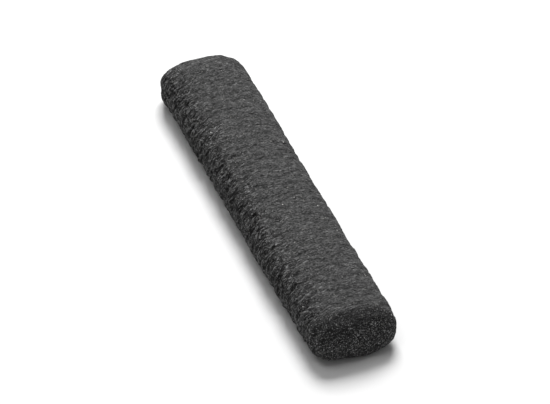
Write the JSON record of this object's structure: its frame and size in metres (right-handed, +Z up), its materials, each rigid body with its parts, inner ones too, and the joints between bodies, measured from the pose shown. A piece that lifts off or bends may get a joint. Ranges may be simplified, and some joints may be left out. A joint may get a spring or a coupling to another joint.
{
  "type": "charcoal briquette",
  "caption": "Stick-shaped briquette of pressed charcoal powder, with a domed back, a flat underside, blunt rounded ends, short wavy ridges across it, and a torn left flank.",
  "frame": {"origin": "middle of the bounding box, at the height of the flat underside", "axes": "+Z up, out of the domed back; +Y along the stick, from the near end of the picture to the far end; +X across it"},
  "size_m": [0.0228, 0.1046, 0.0125],
  "materials": {
    "pressed_charcoal": "matte, fine grain"
  },
  "bodies": {
    "root": {"briquette": "pressed_charcoal"}
  },
  "joints": []
}
